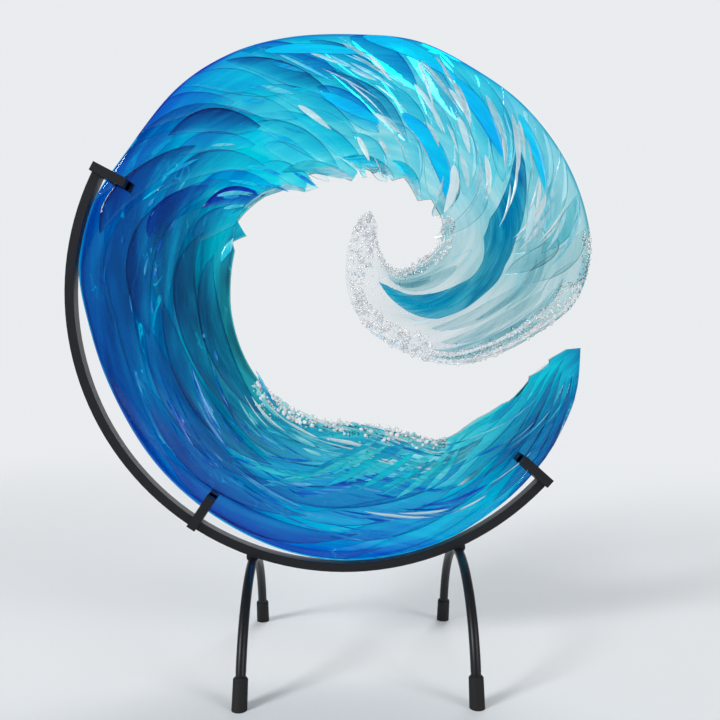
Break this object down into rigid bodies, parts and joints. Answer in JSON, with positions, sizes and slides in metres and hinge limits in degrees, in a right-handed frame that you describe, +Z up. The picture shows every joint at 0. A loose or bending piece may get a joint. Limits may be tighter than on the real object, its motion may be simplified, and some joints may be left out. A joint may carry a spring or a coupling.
{
  "type": "glass wave sculpture",
  "caption": "Fused glass ring wave of overlapping blue blades with a clear curl, lifted out of a welded steel arc stand on rubber feet.",
  "frame": {"origin": "on the floor, below the middle of the whole object's box", "axes": "+Z up, +X to the right as the wave is seen from the front, +Y away from the viewer, square to the glass"},
  "size_m": [0.3526, 0.1618, 0.4214],
  "materials": {
    "black_steel": "satin black paint over welded steel",
    "cap_rubber": "matt black rubber",
    "deep_blue_glass": "fused cobalt glass",
    "royal_glass": "fused royal blue glass",
    "teal_glass": "fused teal glass",
    "turquoise_glass": "fused turquoise glass",
    "cyan_glass": "fused cyan glass",
    "aqua_glass": "fused pale aqua glass",
    "clear_glass": "fused clear glass",
    "foam_glass": "crushed clear glass, fused to beads"
  },
  "bodies": {
    "stand": {"arc_bar": "black_steel", "front_tab_upper_left": "black_steel", "rear_tab_upper_left": "black_steel", "front_tab_lower_left": "black_steel", "rear_tab_lower_left": "black_steel", "front_tab_right": "black_steel", "rear_tab_right": "black_steel", "left_leg_arch": "black_steel", "right_leg_arch": "black_steel", "front_left_foot_cap": "cap_rubber", "rear_left_foot_cap": "cap_rubber", "front_right_foot_cap": "cap_rubber", "rear_right_foot_cap": "cap_rubber"},
    "wave": {"backing_tail": "teal_glass", "backing_trough": "royal_glass", "backing_body": "deep_blue_glass", "backing_crest": "royal_glass", "backing_shoulder": "turquoise_glass", "backing_curl": "clear_glass", "backing_hook": "clear_glass", "under_blades_deep": "deep_blue_glass", "under_blades_royal": "royal_glass", "under_blades_teal": "teal_glass", "under_blades_turquoise": "turquoise_glass", "under_blades_cyan": "cyan_glass", "under_blades_aqua": "aqua_glass", "under_blades_clear": "clear_glass", "top_blades_deep": "deep_blue_glass", "top_blades_royal": "royal_glass", "top_blades_teal": "teal_glass", "top_blades_turquoise": "turquoise_glass", "top_blades_cyan": "cyan_glass", "top_blades_aqua": "aqua_glass", "top_blades_clear": "clear_glass", "curl_crescent": "teal_glass", "curl_strips": "clear_glass", "foam_trough": "foam_glass", "foam_curl_rim": "foam_glass", "foam_hook": "foam_glass", "foam_inner_lip": "foam_glass"}
  },
  "joints": [
    {"name": "glass_lift", "type": "slide", "parent": "stand", "child": "wave", "axis": [0.5664, 0, 0.8241], "range_m": [0, 0.26]}
  ]
}
